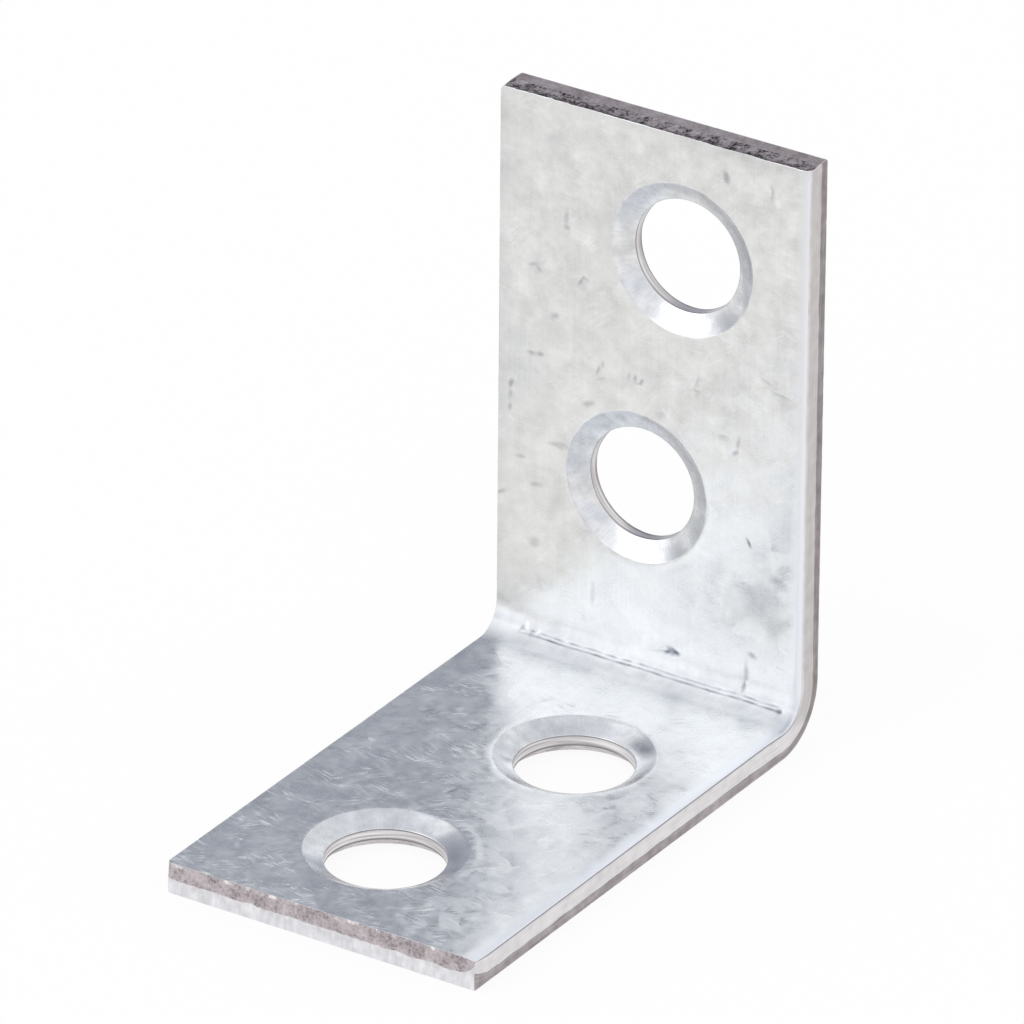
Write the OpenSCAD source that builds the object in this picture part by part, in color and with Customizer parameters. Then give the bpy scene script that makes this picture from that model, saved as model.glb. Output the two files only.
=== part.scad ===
// Small angle bracket folded from one strip of galvanised steel.
// The base leg lies flat on XY, the upright stands at its back edge (+Y).
// Origin: the middle of the base leg's underside. Z is up, X runs across the strip.

/* [Strip] */
// Width of the strip across both legs
strip_w = 14.2; // [12:0.1:20]
// Thickness of the sheet
sheet_t = 1.3; // [1:0.05:2]

/* [Slit long edges] */
// Width of the roll-over that slitting left along the right edge, on the inner face
right_roll_w = 0.75; // [0.3:0.05:1]
// Depth of that roll-over
right_roll_depth = 0.15; // [0.05:0.05:0.25]
// Width of the roll-over along the left edge, on the outer face
left_roll_w = 0.2; // [0.1:0.05:0.4]
// Depth of that roll-over
left_roll_depth = 0.08; // [0.04:0.01:0.1]
// Height of the torn band on the face opposite the roll-over
slit_tear_h = 0.45; // [0.2:0.05:0.6]
// How far the torn band leans in
slit_tear_lean = 0.02; // [0.01:0.01:0.1]

/* [Cropped leg ends] */
// Radius that cropping rolled onto the end, on the outer face
crop_roll = 0.1; // [0.1:0.05:0.4]
// Height of the smooth sheared band, from the outer face
crop_shear_h = 0.65; // [0.45:0.05:0.8]
// How far the torn band above it leans back at the inner face
crop_tear_lean = 0.1; // [0.05:0.05:0.3]

/* [Legs] */
// Length of the base leg, from its free end to the back of the upright
base_len = 24.8; // [22:0.1:40]
// Height of the upright, from the underside of the base to its top end
upright_h = 25.2; // [22:0.1:40]
// Inside radius of the fold
bend_r = 1.2; // [0.6:0.1:2]

/* [Fold crease] */
// Width of the press-brake crease along the inside of the fold
crease_w = 0.2; // [0.1:0.02:0.4]
// Depth of that crease
crease_depth = 0.05; // [0.02:0.01:0.1]
// Plain stretch left between the crease and the left edge
crease_gap_left = 1.25; // [0.3:0.05:3]
// Plain stretch left between the crease and the right edge
crease_gap_right = 0.6; // [0.3:0.05:3]

/* [Screw holes] */
// Diameter of each screw hole
hole_d = 4.8; // [3:0.1:5.5]
// Sideways distance between the two holes of a leg
hole_stagger = 1.95; // [0:0.05:4]
// How far the middle of the hole rows lies off the middle of the strip
hole_shift = 0.35; // [-1:0.05:1]
// Distance of the base leg's outer hole from the free end of the leg
base_end_gap = 5.6; // [4.5:0.1:6.5]
// Distance of the base leg's inner hole from the start of the fold
base_fold_gap = 6.2; // [4:0.1:7]
// Distance of the upright's outer hole from the top end
upright_end_gap = 5.4; // [4.5:0.1:6.5]
// Distance of the upright's inner hole from the end of the fold
upright_fold_gap = 6.8; // [4:0.1:7]

/* [Countersinks] */
// Width of the pressed cone around each hole, on the inner face
cone_w = 0.85; // [0.3:0.05:1]
// Depth of the pressed cone
cone_depth = 0.43; // [0.2:0.01:0.5]
// Width by which the punch tore each hole wider at the outer face
tear_w = 0.4; // [0.1:0.05:0.5]
// Depth of that torn flare
tear_depth = 0.4; // [0.2:0.05:0.45]

/* [Hidden] */
$fn = 96;
cut = 1;
outer_r = bend_r + sheet_t;
back_y = base_len / 2;
front_y = -base_len / 2;
fold_y = back_y - outer_r;
fold_z = outer_r;
hole_r = hole_d / 2;
row_left = hole_shift - hole_stagger / 2;
row_right = hole_shift + hole_stagger / 2;
crease_len = strip_w - crease_gap_left - crease_gap_right;
crease_x = (crease_gap_left - crease_gap_right) / 2;

// Radius of an arc that is half_w wide from its crown to where it has dropped by depth
function arc_r(half_w, depth) = (half_w * half_w + depth * depth) / (2 * depth);

crease_r = arc_r(crease_w / 2, crease_depth);

// Cross-section of the strip: X across it, Y from the outer face (0) to the inner face
module strip_section() {
    edge_x = strip_w / 2;
    difference() {
        polygon([
            [-edge_x, 0],
            [edge_x - slit_tear_lean, 0],
            [edge_x, slit_tear_h],
            [edge_x, sheet_t],
            [slit_tear_lean - edge_x, sheet_t],
            [-edge_x, sheet_t - slit_tear_h]
        ]);
        translate([edge_x - right_roll_w, sheet_t])
            roll_waste(right_roll_w, right_roll_depth);
        translate([left_roll_w - edge_x, 0])
            rotate(180)
                roll_waste(left_roll_w, left_roll_depth);
    }
}

// What slitting rolled away at a long edge, from the start of the roll-over outwards
module roll_waste(w, depth) {
    roll_r = arc_r(w, depth);
    difference() {
        translate([0, -depth])
            square([w + cut, depth + cut]);
        translate([0, -roll_r])
            circle(roll_r);
    }
}

// Flat leg from the fold to the front end
module base_leg() {
    translate([0, fold_y, 0])
        rotate([90, 0, 0])
            linear_extrude(fold_y - front_y)
                strip_section();
}

// Standing leg from the fold to the top end
module upright_leg() {
    translate([0, back_y, fold_z])
        mirror([0, 1, 0])
            linear_extrude(upright_h - fold_z)
                strip_section();
}

// Quarter turn that joins the legs
module fold() {
    translate([0, fold_y, fold_z])
        rotate([0, 90, 0])
            rotate_extrude(angle = 90)
                translate([outer_r, 0])
                    rotate(90)
                        strip_section();
}

// What cropping took off a leg end: X into the leg, Y from the outer face (0)
module crop_outline() {
    difference() {
        translate([-cut, -cut])
            square(cut + crop_roll);
        translate([crop_roll, crop_roll])
            circle(crop_roll);
    }
    polygon([
        [-cut, crop_shear_h],
        [0, crop_shear_h],
        [crop_tear_lean, sheet_t],
        [crop_tear_lean, sheet_t + cut],
        [-cut, sheet_t + cut]
    ]);
}

// That outline along the whole width, for a leg that runs to +Y with its outer face down
module crop_waste() {
    rotate([90, 0, 90])
        linear_extrude(strip_w + 2 * cut, center = true)
            crop_outline();
}

// Shallow round groove that the press tool left along the inside of the fold
module crease() {
    translate([crease_x, fold_y, fold_z])
        rotate([-45, 0, 0])
            translate([0, bend_r + crease_depth - crease_r, 0])
                rotate([0, 90, 0])
                    cylinder(r = crease_r, h = crease_len, center = true);
}

// Cutter for one hole: Z from the outer face (0) to the pressed cone in the inner face
module screw_hole() {
    translate([0, 0, -cut])
        cylinder(r = hole_r, h = sheet_t + 2 * cut);
    translate([0, 0, sheet_t - cone_depth])
        cylinder(r1 = hole_r, r2 = hole_r + 2 * cone_w, h = 2 * cone_depth);
    translate([0, 0, -tear_depth])
        cylinder(r1 = hole_r + 2 * tear_w, r2 = hole_r, h = 2 * tear_depth);
}

// The two staggered holes of the base leg
module base_holes() {
    translate([row_left, front_y + base_end_gap, 0])
        screw_hole();
    translate([row_right, fold_y - base_fold_gap, 0])
        screw_hole();
}

// The two staggered holes of the upright
module upright_holes() {
    for (place = [[row_right, upright_h - upright_end_gap], [row_left, fold_z + upright_fold_gap]])
        translate([place[0], back_y, place[1]])
            rotate([90, 0, 0])
                screw_hole();
}

// The whole bracket: one folded strip with its holes, worked edges and crease
module bracket() {
    color([0.78, 0.8, 0.8])
        difference() {
            union() {
                base_leg();
                upright_leg();
                fold();
            }
            base_holes();
            upright_holes();
            crease();
            translate([0, front_y, 0])
                crop_waste();
            translate([0, back_y, upright_h])
                rotate([-90, 0, 180])
                    crop_waste();
        }
}

bracket();
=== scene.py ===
"""Looks of a small angle bracket: one strip of galvanised steel that was slit, cropped, punched and folded.

The strip is modelled flat, in millimetres, and then worked in the order of the real press tool. Blank
coordinates are across (left to right), along (front end to top end) and depth (inner to outer face).
"""

import logging
import math
from dataclasses import dataclass, field
from enum import Enum

import bmesh
import bpy
import numpy as np
from mathutils import Matrix, Vector
from mathutils.geometry import delaunay_2d_cdt


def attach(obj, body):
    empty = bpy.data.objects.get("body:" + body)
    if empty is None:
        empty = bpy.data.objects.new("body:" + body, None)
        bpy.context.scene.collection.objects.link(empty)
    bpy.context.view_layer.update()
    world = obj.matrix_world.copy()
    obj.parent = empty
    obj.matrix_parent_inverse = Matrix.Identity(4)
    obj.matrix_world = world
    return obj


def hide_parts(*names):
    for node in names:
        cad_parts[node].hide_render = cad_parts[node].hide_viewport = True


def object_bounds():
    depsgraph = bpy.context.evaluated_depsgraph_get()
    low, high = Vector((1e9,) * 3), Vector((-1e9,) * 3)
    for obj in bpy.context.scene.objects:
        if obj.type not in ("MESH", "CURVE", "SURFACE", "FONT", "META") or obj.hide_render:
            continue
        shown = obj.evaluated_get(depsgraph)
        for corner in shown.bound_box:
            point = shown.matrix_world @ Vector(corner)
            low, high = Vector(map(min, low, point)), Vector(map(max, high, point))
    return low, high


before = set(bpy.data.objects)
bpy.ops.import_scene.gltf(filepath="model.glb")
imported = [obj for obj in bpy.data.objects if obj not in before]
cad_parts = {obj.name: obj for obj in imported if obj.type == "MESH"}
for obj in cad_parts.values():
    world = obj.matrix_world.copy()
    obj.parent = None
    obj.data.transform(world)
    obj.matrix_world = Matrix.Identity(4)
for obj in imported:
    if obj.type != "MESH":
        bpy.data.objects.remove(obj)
cad_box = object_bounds()

MM = 0.001
LOG = logging.getLogger("bracket")

Tree = bpy.types.NodeTree
Node = bpy.types.Node
Socket = bpy.types.NodeSocket
Feed = Node | Socket


class Leg(Enum):
    """The two legs of the bracket."""

    BASE = "base"
    UPRIGHT = "upright"


class Zone(Enum):
    """Surfaces of the strip that a tool left in different states; the value is the material's index."""

    FACE = 0
    SLIT = 1
    SLIT_TORN = 2
    FRONT_SHEARED = 3
    FRONT_TORN = 4
    TOP_SHEARED = 5
    TOP_TORN = 6
    CONE = 7
    BORE = 8
    BORE_TORN = 9


def ripple(points: np.ndarray, pitch: float, seed: int, waves: int = 20) -> np.ndarray:
    """Smooth random field made of plane waves, with a spread of about 1.

    Args:
        points: Places, one row each, in any number of dimensions.
        pitch: Typical distance from crest to crest.
        seed: Seed of the directions and phases.
        waves: How many waves are summed.

    Returns:
        One value for each place.
    """
    draw = np.random.default_rng(seed)
    total = np.zeros(len(points))
    for _ in range(waves):
        heading = draw.normal(size=points.shape[1])
        heading *= 2 * math.pi / (pitch * np.linalg.norm(heading)) * draw.uniform(0.6, 1.5)
        total += np.cos(points @ heading + draw.uniform(0, 2 * math.pi))
    return total * math.sqrt(2 / waves)


def bump(distance: np.ndarray, reach: float) -> np.ndarray:
    """Smooth hump that is 1 at distance 0 and falls to 0 at the reach."""
    x = np.clip(1 - (distance / reach) ** 2, 0, 1)
    return x * x


def stations(fixed: list[float], step: float) -> np.ndarray:
    """Rising places that hold the fixed ones and fill the gaps between them evenly.

    Args:
        fixed: Places that have to be there, in any order.
        step: Largest distance between two places.

    Returns:
        The places, from the lowest to the highest fixed one.
    """
    corners = np.unique(np.round(fixed, 4))
    filled = [corners[:1]]
    for low, high in zip(corners[:-1], corners[1:]):
        filled.append(np.linspace(low, high, math.ceil((high - low) / step) + 1)[1:])
    return np.round(np.concatenate(filled), 4)


def crowded(length: float, ends: tuple[float, ...]) -> list[float]:
    """Places near both ends of a length, at the given distances from each end."""
    return [*ends, *(length - end for end in ends)]


@dataclass(frozen=True)
class Strip:
    """The strip of sheet and the fold that turns it into two legs, in millimetres."""

    width: float
    base_len: float
    upright_h: float
    sheet_t: float = 1.3
    bend_r: float = 1.2

    @property
    def half(self) -> float:
        """Half the strip's width."""
        return self.width / 2

    @property
    def base_run(self) -> float:
        """Length of the flat part of the base leg."""
        return self.base_len - self.bend_r - self.sheet_t

    @property
    def arc_run(self) -> float:
        """Length of the fold, along the inner face."""
        return self.bend_r * math.pi / 2

    @property
    def fold_middle(self) -> float:
        """Place of the middle of the fold, along the inner face."""
        return self.base_run + self.arc_run / 2

    @property
    def length(self) -> float:
        """Whole length of the strip, along the inner face."""
        return self.base_run + self.arc_run + self.upright_h - self.bend_r - self.sheet_t

    def along(self, leg: Leg, reach: float) -> float:
        """Place along the strip of a point on a leg.

        Args:
            leg: The leg that holds the point.
            reach: Distance of the point from the outer face of the other leg.

        Returns:
            The distance from the front end.
        """
        if leg is Leg.BASE:
            return self.base_len - reach
        return self.length - self.upright_h + reach

    def folded(self, blank: np.ndarray) -> np.ndarray:
        """Folds blank coordinates into the bracket's own frame.

        Args:
            blank: Rows of across, along and depth.

        Returns:
            Rows of x, y and z, in millimetres.
        """
        across, along, depth = blank.T
        turn = np.clip((along - self.base_run) / self.bend_r, 0, math.pi / 2)
        on_base = np.minimum(along - self.base_run, 0)
        on_upright = np.maximum(along - self.base_run - self.arc_run, 0)
        radius = self.bend_r + depth
        outer_r = self.bend_r + self.sheet_t
        y = self.base_len / 2 - outer_r + on_base + radius * np.sin(turn)
        z = outer_r + on_upright - radius * np.cos(turn)
        return np.column_stack([across, y, z])


@dataclass(frozen=True)
class ScrewHole:
    """A punched hole with a pressed cone, in millimetres."""

    across: float
    along: float
    seed: int
    hole_r: float = 2.4
    cone_w: float = 0.85
    cone_depth: float = 0.43
    cone_hollow: float = 0.3
    tear_w: float = 0.4
    tear_depth: float = 0.4
    lip_w: float = 0.5
    lip_h: float = 0.012
    outer_margin: float = 0.2
    sides: int = 144

    @property
    def face_r(self) -> float:
        """Radius at which the inner face starts to rise to the cone's lip."""
        return self.hole_r + self.cone_w + self.lip_w

    @property
    def outer_r(self) -> float:
        """Radius at which the hole's patch joins the outer face."""
        return self.hole_r + self.tear_w + self.outer_margin

    @property
    def flatness(self) -> float:
        """How far the middle of a ring's side lies from the hole's middle, as a share of the radius."""
        return math.cos(math.pi / self.sides)

    def distance(self, places: np.ndarray) -> np.ndarray:
        """Distance of each place from the middle of the hole."""
        return np.hypot(places[:, 0] - self.across, places[:, 1] - self.along)

    def ring(self, radius: float) -> np.ndarray:
        """Places of one ring round the hole.

        Args:
            radius: Radius of the ring.

        Returns:
            Rows of across and along.
        """
        angle = np.linspace(0, 2 * math.pi, self.sides, endpoint=False)
        x = self.across + radius * np.cos(angle)
        y = self.along + radius * np.sin(angle)
        return np.round(np.column_stack([x, y]), 4)

    def profile(self, sheet_t: float) -> list[tuple[float, float, Zone]]:
        """Section of the hole from the inner face to the outer face.

        Args:
            sheet_t: Thickness of the sheet.

        Returns:
            Radius, depth and the zone of the surface that follows, for each ring.
        """
        rim_r = self.hole_r + self.cone_w
        rows = [(self.face_r, 0.0, Zone.FACE)]
        for share in (0.7, 0.45, 0.28, 0.15):
            lift = self.lip_h * math.sin(math.pi * (1 - share)) ** 0.8
            rows.append((rim_r + share * self.lip_w, -lift, Zone.FACE))
        rows += [(rim_r + 0.03, -0.001, Zone.CONE), (rim_r - 0.02, 0.016, Zone.CONE)]
        for inset in np.linspace(0.06, self.cone_w - 0.05, 10):
            share = inset / self.cone_w
            hollow = 1 + self.cone_hollow * (1 - share)
            rows.append((rim_r - inset, self.cone_depth * share * hollow, Zone.CONE))
        rows.append((self.hole_r + 0.018, self.cone_depth - 0.005, Zone.CONE))
        rows.append((self.hole_r + 0.004, self.cone_depth + 0.012, Zone.BORE))
        tear_top = sheet_t - self.tear_depth
        for depth in np.linspace(self.cone_depth + 0.05, tear_top, 10):
            rows.append((self.hole_r, depth, Zone.BORE))
        rows[-1] = (self.hole_r, tear_top, Zone.BORE_TORN)
        for share in (0.06, 0.14, 0.24, 0.36, 0.5, 0.65, 0.8, 0.93):
            out = self.tear_w * share**1.25
            rows.append((self.hole_r + out, tear_top + share * self.tear_depth, Zone.BORE_TORN))
        rows.append((self.hole_r + self.tear_w, sheet_t - 0.006, Zone.FACE))
        rows.append((self.hole_r + self.tear_w + 0.03, sheet_t, Zone.FACE))
        rows.append((self.outer_r, sheet_t, Zone.FACE))
        return rows


@dataclass(frozen=True)
class HolePattern:
    """Where the screw holes go, in millimetres: two on each leg, a left one and a right one.

    The outer holes are placed from the strip's ends and the inner ones from where the fold begins.
    """

    left: float = -0.625
    right: float = 1.325
    from_front: float = 5.6
    from_top: float = 5.4
    from_fold_base: float = 6.2
    from_fold_upright: float = 6.8
    seeds: tuple[int, int, int, int] = (101, 111, 121, 131)

    def holes(self, strip: Strip) -> list[ScrewHole]:
        """Places the holes on a strip.

        Args:
            strip: The strip.

        Returns:
            The holes, from the front end to the top end.
        """
        fold_w = strip.base_len - strip.base_run
        places = (
            (self.left, self.from_front),
            (self.right, strip.along(Leg.BASE, fold_w + self.from_fold_base)),
            (self.left, strip.along(Leg.UPRIGHT, fold_w + self.from_fold_upright)),
            (self.right, strip.length - self.from_top),
        )
        return [ScrewHole(*place, seed) for place, seed in zip(places, self.seeds)]


class Blank:
    """Patches of the flat strip; points of two patches that coincide become one."""

    TOLERANCE = 0.0005

    def __init__(self) -> None:
        """Starts with no patches."""
        self._points: list[np.ndarray] = []
        self._faces: list[tuple[int, ...]] = []
        self._zones: list[Zone] = []
        self._count = 0

    def add(self, points: np.ndarray, faces: list[tuple[int, ...]], zones: list[Zone]) -> None:
        """Adds a patch.

        Args:
            points: Rows of across, along and depth.
            faces: Corner numbers of each face, counted in this patch.
            zones: Zone of each face.
        """
        self._points.append(points)
        self._faces += [tuple(corner + self._count for corner in face) for face in faces]
        self._zones += zones
        self._count += len(points)

    def add_grid(self, points: np.ndarray, zones: list[Zone]) -> None:
        """Adds a patch of rows and columns.

        Args:
            points: Places as an array of rows, columns and coordinates.
            zones: Zone of each strip of faces between two columns.
        """
        rows, columns = points.shape[:2]
        faces = []
        named = []
        for row in range(rows - 1):
            for column in range(columns - 1):
                a = row * columns + column
                faces.append((a, a + 1, a + columns + 1, a + columns))
                named.append(zones[column])
        self.add(points.reshape(-1, 3), faces, named)

    def merged(self) -> tuple[np.ndarray, list[tuple[int, ...]], list[Zone]]:
        """Joins the patches.

        Returns:
            The points without doubles, the faces and the zone of each face.
        """
        points = np.concatenate(self._points)
        keys = np.round(points / self.TOLERANCE).astype(np.int64)
        _, first, same = np.unique(keys, axis=0, return_index=True, return_inverse=True)
        same = same.ravel()
        faces = [tuple(int(same[corner]) for corner in face) for face in self._faces]
        return points[first], faces, self._zones


@dataclass(frozen=True)
class SlitEdge:
    """One long edge, cut by slitting rolls that pressed from the side of the roll-over, in millimetres.

    The side is 1 for the right edge and -1 for the left one. The fold's squeeze deepens the roll-over by
    fold_sink of itself, out to fold_reach. The waver of the tear line fades out towards the depth steady,
    and the tear as a whole fades out towards reach.
    """

    side: int
    roll_w: float
    roll_depth: float
    fold_sink: float
    fold_reach: float = 2.6
    roll_reach: float = 1.0
    steady: float = 0.3
    tear_depth: float = 0.85
    tear_blend: float = 0.03
    tear_lean: float = 0.004
    tear_rough: float = 0.004
    grit_mm: tuple[float, float] = (0.3, 0.16)
    waver: float = 0.008
    waver_mm: tuple[float, float] = (1.7, 0.45)
    reach: float = 0.4

    def entry(self, strip: Strip, depth: np.ndarray) -> np.ndarray:
        """Depth from the face that the roll entered: the inner one on the right, the outer on the left."""
        return depth if self.side > 0 else strip.sheet_t - depth

    def tear_shift(self, strip: Strip, along: np.ndarray) -> np.ndarray:
        """How much deeper than usual the torn band starts, which is where it narrows.

        Args:
            strip: The strip.
            along: Places along the strip.

        Returns:
            The shift in depth at each place.
        """
        fold, top = strip.fold_middle, strip.length
        knots = (0, fold - 4, fold, fold + 2, fold + 6, top - 6, top)
        shifts = (0, -0.02, 0.06, 0.03, 0, -0.02, 0)
        long_mm, short_mm = self.waver_mm
        waves = ripple(along[:, None], long_mm, 41 + self.side)
        waves += 0.6 * ripple(along[:, None], short_mm, 43 + self.side)
        return np.interp(along, knots, shifts) + self.waver * waves

    def zone(self, entry: float, corner: float) -> Zone:
        """Zone at a depth from the entry face; the rounded corner still carries the face's zinc."""
        if entry > self.tear_depth:
            return Zone.SLIT_TORN
        return Zone.FACE if entry < corner else Zone.SLIT

    def work(self, strip: Strip, blank: np.ndarray) -> np.ndarray:
        """Rolls one corner over and tears the opposite part of the edge.

        Args:
            strip: The strip.
            blank: Rows of across, along and depth.

        Returns:
            The worked rows.
        """
        worked = blank.copy()
        inset = strip.half - self.side * blank[:, 0]
        near = inset < max(self.roll_w, self.reach)
        inset, along = inset[near], blank[near, 1]
        entry = self.entry(strip, blank[near, 2])
        roll_r = (self.roll_w**2 + self.roll_depth**2) / (2 * self.roll_depth)
        into = np.clip(self.roll_w - inset, 0, self.roll_w)
        squeezed = 1 + self.fold_sink * bump(along - strip.fold_middle, self.fold_reach)
        drop = (roll_r - np.sqrt(roll_r**2 - into**2)) * squeezed
        on_edge = bump(inset, self.reach)
        hat = np.interp(entry, (self.steady, self.tear_depth, strip.sheet_t), (0, 1, 0))
        knots = (self.tear_depth, self.tear_depth + self.tear_blend, strip.sheet_t)
        torn = np.interp(entry, knots, (0, 0.3, 1))
        coarse_mm, fine_mm = self.grit_mm
        grit = np.abs(ripple(blank[near], coarse_mm, 51))
        grit += 0.6 * np.abs(ripple(blank[near] * (1, 0.5, 1), fine_mm, 52))
        rough = self.tear_rough * np.clip(grit, 0, 2.5) * np.clip(4 * torn, 0, 1)
        entry = entry + drop * np.clip(1 - entry / self.roll_reach, 0, 1)
        entry += self.tear_shift(strip, along) * hat * on_edge
        worked[near, 0] -= self.side * (self.tear_lean * torn + rough) * on_edge
        worked[near, 2] = self.entry(strip, entry)
        return worked


@dataclass(frozen=True)
class CroppedEnd:
    """What the cropping blade left at one end of the strip, in millimetres.

    The torn band leans back by tear_lean, wavers along the edge and is rough with teeth and grain. The
    sheared band has drag lines, its height sways, and at the right corner, over corner_w, it reaches further
    in. The sway fades out towards the depth steady, and all of it fades out towards reach.
    """

    at_top: bool
    seed: int
    tear_lean: float
    waver: float
    grit: float
    waver_mm: float = 2.6
    tooth_mm: float = 0.38
    grain_mm: float = 0.17
    drag: float = 0.003
    drag_mm: float = 0.14
    roll: float = 0.06
    steady: float = 0.05
    shear_h: float = 0.65
    shear_sway: float = 0.016
    sway_mm: tuple[float, float] = (1.3, 0.34)
    corner_drop: float = 0.0
    corner_w: float = 0.6
    reach: float = 0.9

    def zone(self, strip: Strip, depth: float) -> Zone:
        """Zone of the end at a depth from the inner face."""
        if depth < strip.sheet_t - self.shear_h:
            return Zone.TOP_TORN if self.at_top else Zone.FRONT_TORN
        return Zone.TOP_SHEARED if self.at_top else Zone.FRONT_SHEARED

    def setback(self, strip: Strip, across: np.ndarray, depth: np.ndarray) -> np.ndarray:
        """How far the end face lies behind the blank's end.

        Args:
            strip: The strip.
            across: Places across the strip.
            depth: Depths from the inner face.

        Returns:
            The setback at each place, never below 0.
        """
        tear_w = strip.sheet_t - self.shear_h
        place = np.column_stack([across, depth])
        torn = np.clip((tear_w - depth) / tear_w, 0, 1)
        slant = self.tear_lean * torn**0.8
        sway = self.waver * (1 + ripple(across[:, None], self.waver_mm, self.seed + 1)) * torn
        teeth = 0.5 * np.abs(ripple(place * (1, 0.45), self.tooth_mm, self.seed + 2))
        grain = 0.45 * np.abs(ripple(place, self.grain_mm, self.seed + 3))
        rough = self.grit * (teeth + grain) * np.clip(6 * torn, 0, 1)
        near = np.clip(self.roll - (strip.sheet_t - depth), 0, self.roll)
        rolled = self.roll - np.sqrt(self.roll**2 - near**2)
        dragged = self.drag * np.abs(ripple(place * (1, 0.12), self.drag_mm, self.seed + 4))
        return np.clip(slant + sway, 0, None) + rough + rolled + dragged

    def work(self, strip: Strip, blank: np.ndarray) -> np.ndarray:
        """Shapes the end of the strip.

        Args:
            strip: The strip.
            blank: Rows of across, along and depth.

        Returns:
            The worked rows.
        """
        across, along, depth = blank.T.copy()
        from_end = strip.length - along if self.at_top else along
        near = from_end < self.reach
        share = 1 - from_end[near] / self.reach
        moved = self.setback(strip, across[near], depth[near]) * share
        along[near] += -moved if self.at_top else moved
        knots = (self.steady, strip.sheet_t - self.shear_h, strip.sheet_t)
        hat = np.interp(depth[near], knots, (0, 1, 0))
        long_mm, short_mm = self.sway_mm
        sway = ripple(across[near, None], long_mm, self.seed + 5)
        sway += 0.7 * ripple(across[near, None], short_mm, self.seed + 6)
        beside = (across[near] - strip.half + self.corner_w) / self.corner_w
        wrap = self.corner_drop * np.clip(beside, 0, 1) ** 1.5
        depth[near] += (self.shear_sway * sway - wrap) * hat * share
        return np.column_stack([across, along, depth])


@dataclass(frozen=True)
class PressCrease:
    """Double line that the edge of the press tool left along the inside of the fold, in millimetres.

    The two grooves lie a spread above and below the middle of the fold. The weights darken the upper groove,
    the lower groove, the ridge between them and the notch with grime and painted shade.
    """

    gap_left: float = 1.25
    gap_right: float = 0.6
    fade_left: float = 0.25
    fade_right: float = 0.04
    spread: float = 0.08
    groove_w: float = 0.052
    depth: float = 0.03
    wander: float = 0.012
    wander_mm: float = 3.5
    wear_mm: tuple[float, float] = (0.9, 1.3)
    notch_off: float = 0.09
    notch_r: float = 0.16
    notch_depth: float = 0.07
    # Grime and painted shade of the upper groove, the lower groove, the ridge and the notch.
    shade_and_grime: tuple[float, float, float, float] = (0.52, 0.58, 0.1, 0.7)

    def stations(self, strip: Strip) -> np.ndarray:
        """Extra places along the strip that the crease needs."""
        steps = (0, 0.025, 0.05, 0.075, 0.1, 0.125, 0.15, 0.19, 0.24)
        return np.array([strip.fold_middle + sign * step for sign in (-1, 1) for step in steps])

    def lines(self, strip: Strip, places: np.ndarray) -> tuple[np.ndarray, np.ndarray, np.ndarray]:
        """Strength of the upper line, of the lower line and of the ridge between them.

        Args:
            strip: The strip.
            places: Rows that start with across and along.

        Returns:
            Three strengths from 0 to about 1 for each place.
        """
        across, along = places[:, 0], places[:, 1]
        row = across[:, None]
        off = along - (strip.fold_middle + self.wander * ripple(row, self.wander_mm, 61))
        start = np.clip((across + strip.half - self.gap_left) / self.fade_left, 0, 1)
        end = np.clip((strip.half - self.gap_right - across) / self.fade_right, 0, 1)
        wear = np.clip(0.75 + 0.3 * ripple(row, self.wear_mm[0], 62), 0.2, 1.2)
        wear_low = np.clip(0.85 + 0.25 * ripple(row, self.wear_mm[1], 63), 0.3, 1.3)
        upper = 0.8 * wear * bump(off - self.spread, self.groove_w)
        lower = wear_low * bump(off + self.spread, 1.3 * self.groove_w)
        return upper * start * end, lower * start * end, bump(off, 0.8 * self.spread) * start * end

    def notch(self, strip: Strip, places: np.ndarray) -> np.ndarray:
        """Strength of the notch that the tool's corner left at the right end of the crease."""
        x = places[:, 0] - strip.half + self.gap_right + self.notch_off
        y = places[:, 1] - strip.fold_middle + self.notch_off
        return bump(np.hypot(x, y), self.notch_r)

    def sink(self, strip: Strip, places: np.ndarray) -> np.ndarray:
        """Depth of the crease at places on the inner face."""
        upper, lower, _ = self.lines(strip, places)
        return self.depth * (upper + lower) + self.notch_depth * self.notch(strip, places)

    def stain_and_shade(self, strip: Strip, places: np.ndarray) -> np.ndarray:
        """How dark the grooves, the ridge between them and the notch are painted, with grime and painted
        shade.
        """
        parts = (*self.lines(strip, places), self.notch(strip, places))
        return sum(weight * part for weight, part in zip(self.shade_and_grime, parts))


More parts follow.
